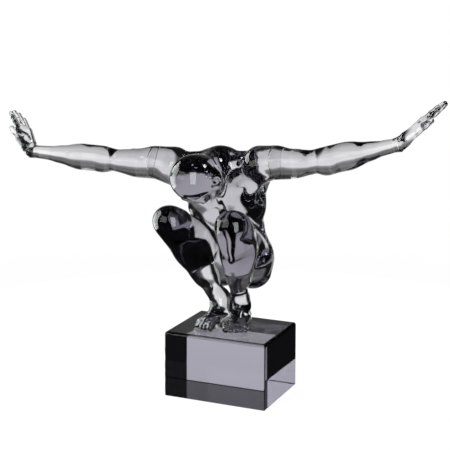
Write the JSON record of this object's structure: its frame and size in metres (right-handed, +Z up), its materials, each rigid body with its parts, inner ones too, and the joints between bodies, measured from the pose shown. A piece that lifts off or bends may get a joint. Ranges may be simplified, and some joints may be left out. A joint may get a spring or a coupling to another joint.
{
  "type": "figure sculpture",
  "caption": "Clear smoke-tinted crystal figure squatting on a solid crystal block, head bowed and both arms stretched out.",
  "frame": {"origin": "centre of the block's underside, on the flat face that the object rests on", "axes": "+X to the figure's left along its outstretched arms and the block's long side, -Y the way the figure faces, +Z up"},
  "size_m": [0.4636, 0.1561, 0.3091],
  "materials": {
    "crystal": "polished clear crystal with a faint smoke-lavender tint, cast surfaces slightly wavy",
    "adhesive": "clear cured adhesive film"
  },
  "bodies": {
    "root": {"block": "crystal", "body": "crystal", "right_arm": "crystal", "left_arm": "crystal", "right_hand": "crystal", "left_hand": "crystal", "right_shoulder_bond": "adhesive", "right_wrist_bond": "adhesive", "right_foot_bond": "adhesive", "left_shoulder_bond": "adhesive", "left_wrist_bond": "adhesive", "left_foot_bond": "adhesive"}
  },
  "joints": []
}
